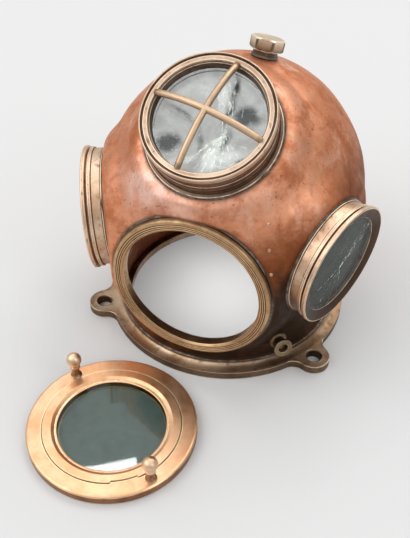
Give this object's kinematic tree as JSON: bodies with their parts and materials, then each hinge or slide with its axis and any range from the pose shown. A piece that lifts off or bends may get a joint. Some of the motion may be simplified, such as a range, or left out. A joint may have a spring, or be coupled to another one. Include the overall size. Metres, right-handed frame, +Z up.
{
  "type": "diving helmet with its removed face plate",
  "caption": "Copper diving helmet bonnet with brass framed windows, a barred top light and a lugged neck flange; its glazed face plate lies in front.",
  "frame": {"origin": "centre of the whole part's box, on the floor that both pieces stand on", "axes": "+Z up; the bonnet's open front window faces -Y, with the face plate in front of it; +X to the wearer's left"},
  "size_m": [0.3034, 0.4546, 0.2896],
  "materials": {
    "copper": "old spun copper, brown-orange, hammered and spotted, half polished",
    "window_brass": "turned brass, cream-gold where rubbed, brown in the corners",
    "flange_brass": "cast brass, grey-brown and dull, brighter on edges",
    "stub_brass": "dark green-brown brass",
    "cap_brass": "pale worn brass",
    "plate_copper": "bright rubbed copper-red brass with cream highlights",
    "knob_brass": "pale satin brass",
    "window_glass": "thick grey-green glass, cracked and scratched",
    "plate_glass": "thick grey-green glass, clean"
  },
  "bodies": {
    "root": {"bonnet_shell": "copper", "neck_flange": "flange_brass", "front_ring": "window_brass", "top_window_ring": "window_brass", "top_glass": "window_glass", "guard_bars": "window_brass", "right_window_ring": "window_brass", "right_glass": "window_glass", "left_window_ring": "window_brass", "left_glass": "window_glass", "crown_boss": "cap_brass", "crown_hex_cap": "cap_brass", "neck_stub": "stub_brass", "plate_ring": "plate_copper", "plate_rim": "plate_copper", "plate_glass": "plate_glass", "plate_knob_1": "knob_brass", "plate_knob_2": "knob_brass"}
  },
  "joints": []
}
